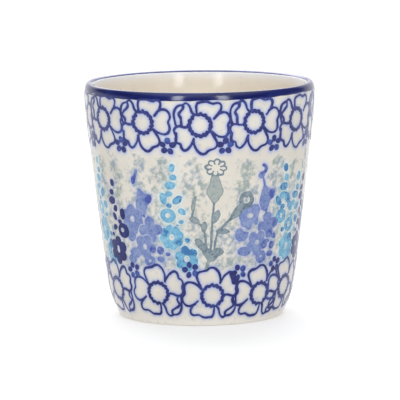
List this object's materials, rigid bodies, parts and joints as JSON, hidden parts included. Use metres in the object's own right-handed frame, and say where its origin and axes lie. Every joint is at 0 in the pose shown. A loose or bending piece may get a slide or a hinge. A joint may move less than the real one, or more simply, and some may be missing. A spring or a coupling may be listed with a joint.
{
  "type": "polish stoneware mug",
  "caption": "Handle-less tapered stoneware tumbler mug with a cobalt lip, stamped flower borders and a painted garden frieze under glossy glaze.",
  "frame": {"origin": "On the table plane, at the centre of the foot ring.", "axes": "+Z is the axis of the mug and points up. -Y is the side seen in the picture, where the grey poppy of the frieze is, and +X is to the right as seen from there."},
  "size_m": [0.084, 0.084, 0.0854],
  "materials": {
    "bare_clay": "matte",
    "outside_glaze": "gloss",
    "inside_glaze": "gloss",
    "cobalt_glaze": "gloss",
    "base_glaze": "gloss",
    "cobalt_underglaze": "gloss",
    "frieze_underglaze": "gloss"
  },
  "bodies": {
    "root": {"stoneware_body": "bare_clay", "exterior_glaze": "outside_glaze", "interior_glaze": "inside_glaze", "cobalt_rim_band": "cobalt_glaze", "base_glaze": "base_glaze", "upper_flower_border": "cobalt_underglaze", "garden_frieze": "frieze_underglaze", "lower_flower_border": "cobalt_underglaze"}
  },
  "joints": []
}
